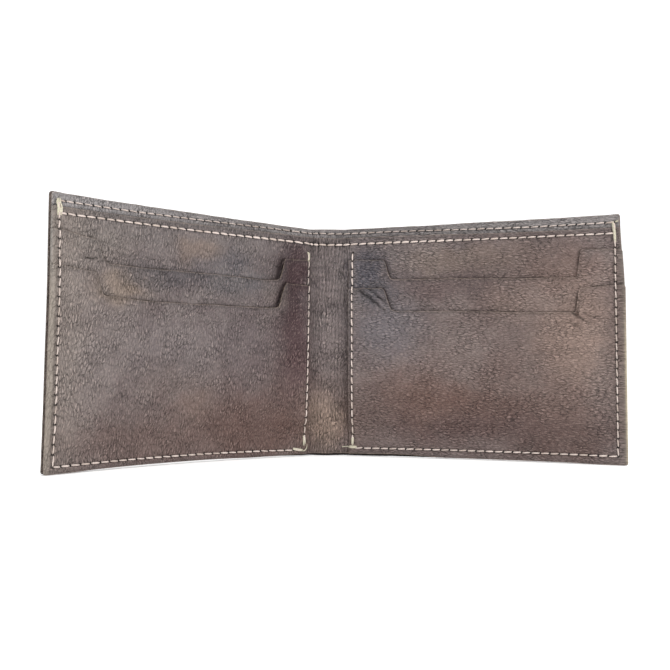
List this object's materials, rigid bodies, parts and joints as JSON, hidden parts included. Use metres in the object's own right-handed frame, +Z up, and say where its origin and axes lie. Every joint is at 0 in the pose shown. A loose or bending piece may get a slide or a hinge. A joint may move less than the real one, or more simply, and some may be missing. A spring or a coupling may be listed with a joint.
{
  "type": "bifold wallet",
  "caption": "Leather bifold wallet standing half open: cover with lining, full-width note compartment, stepped card pockets in each half and contrast stitching.",
  "frame": {"origin": "middle of the spine cover's lower edge, on the surface the wallet stands on, between the two fold lines", "axes": "+Z up along the spine and the fold lines; the card side faces -Y and the outer cover faces +Y; the right half lies towards +X"},
  "size_m": [0.2056, 0.0747, 0.095],
  "materials": {
    "cover_leather": "worn pull-up leather, satin",
    "inside_leather": "worn pull-up leather, washed brown, satin",
    "lining_leather": "thin lining leather, grey olive brown, satin",
    "thread": "waxed cream thread"
  },
  "bodies": {
    "spine": {"cover_spine": "cover_leather", "lining_spine": "lining_leather", "divider_lining_spine": "lining_leather", "divider_spine": "inside_leather", "top_thread_spine": "thread", "divider_thread_spine": "thread"},
    "left_half": {"cover_left": "cover_leather", "lining_left": "lining_leather", "divider_lining_left": "lining_leather", "divider_left": "inside_leather", "upper_pocket_left": "inside_leather", "lower_pocket_left": "inside_leather", "top_thread_left": "thread", "divider_thread_left": "thread", "side_thread_left": "thread", "bottom_thread_left": "thread", "inner_thread_left": "thread", "pocket_thread_left": "thread", "tacks_left": "thread"},
    "right_half": {"cover_right": "cover_leather", "lining_right": "lining_leather", "divider_lining_right": "lining_leather", "divider_right": "inside_leather", "upper_pocket_right": "inside_leather", "lower_pocket_right": "inside_leather", "top_thread_right": "thread", "divider_thread_right": "thread", "side_thread_right": "thread", "bottom_thread_right": "thread", "inner_thread_right": "thread", "pocket_thread_right": "thread", "tacks_right": "thread"}
  },
  "joints": [
    {"name": "left_fold", "type": "hinge", "parent": "spine", "child": "left_half", "pos_m": [-0.0071, 0, 0], "axis": [0, 0, 1], "range_deg": [-38.5, 51.5]},
    {"name": "right_fold", "type": "hinge", "parent": "spine", "child": "right_half", "pos_m": [0.0071, 0, 0], "axis": [0, 0, -1], "range_deg": [-19, 71]}
  ]
}
